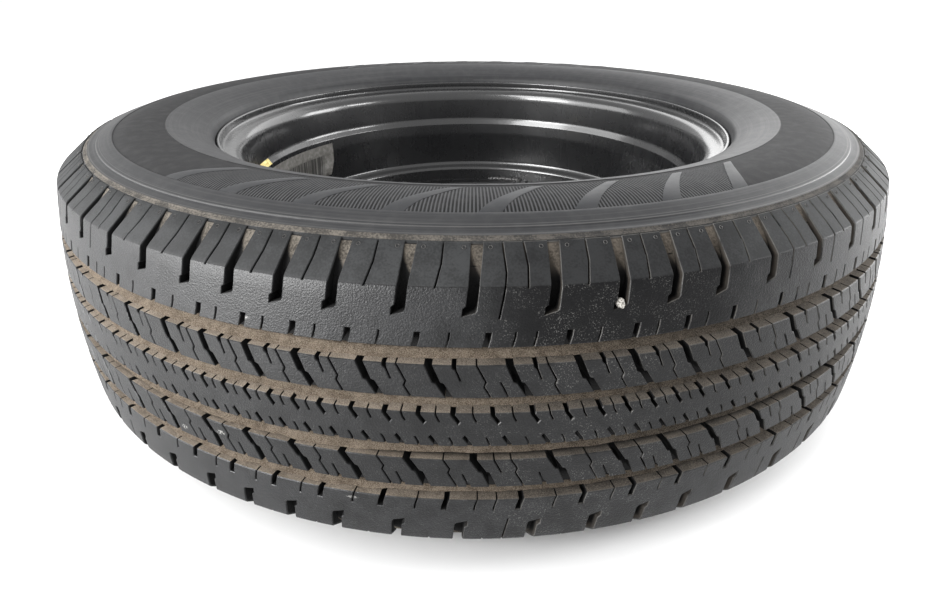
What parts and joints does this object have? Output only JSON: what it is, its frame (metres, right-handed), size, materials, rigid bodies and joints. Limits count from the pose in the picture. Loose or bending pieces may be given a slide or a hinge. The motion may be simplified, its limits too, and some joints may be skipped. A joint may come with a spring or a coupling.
{
  "type": "spare wheel",
  "caption": "Car wheel lying flat: ribbed road tyre on a black steel rim with a pressed disc centre, hub bore, stud holes and a snap-in valve.",
  "frame": {"origin": "wheel centre, where the axle line crosses the tyre's mid-plane", "axes": "+Z along the axle line to the inboard side, which faces up as the wheel lies flat; +Y away from the viewer"},
  "size_m": [0.7079, 0.708, 0.204],
  "materials": {
    "tyre_rubber": "worn, dusty tread; matt",
    "black_paint": "gloss black",
    "weld_steel": "painted over",
    "valve_rubber": "matt",
    "stem_brass": "turned",
    "cap_plastic": "moulded",
    "label_film": "printed, soiled",
    "yellow_paint": "dabbed on"
  },
  "bodies": {
    "wheel": {"tyre": "tyre_rubber", "rim": "black_paint", "disc": "black_paint", "disc_welds": "weld_steel", "valve_body": "valve_rubber", "valve_stem": "stem_brass", "valve_core": "stem_brass", "barcode_label": "label_film", "yellow_mark": "yellow_paint"},
    "pin": {"core_pin": "stem_brass", "core_seal": "valve_rubber"},
    "gasket": {"cap_gasket": "valve_rubber"},
    "cap": {"valve_cap": "cap_plastic"}
  },
  "joints": [
    {"name": "pin_press", "type": "slide", "parent": "wheel", "child": "pin", "axis": [0.309, -0.2156, 0.9263], "range_m": [0, 0.0012], "stiffness_N_per_m": 1200, "springref_m": -0.0012},
    {"name": "cap_lift", "type": "slide", "parent": "wheel", "child": "gasket", "axis": [-0.309, 0.2156, -0.9263], "range_m": [0, 0.00476]},
    {"name": "cap_turn", "type": "hinge", "parent": "gasket", "child": "cap", "pos_m": [0.17038, -0.11886, -0.05184], "axis": [-0.309, 0.2156, -0.9263], "range_deg": [0, 2160]}
  ],
  "couplings": [
    {"joint": "cap_turn", "follows": "cap_lift", "rad_per_m": 7913.3}
  ]
}
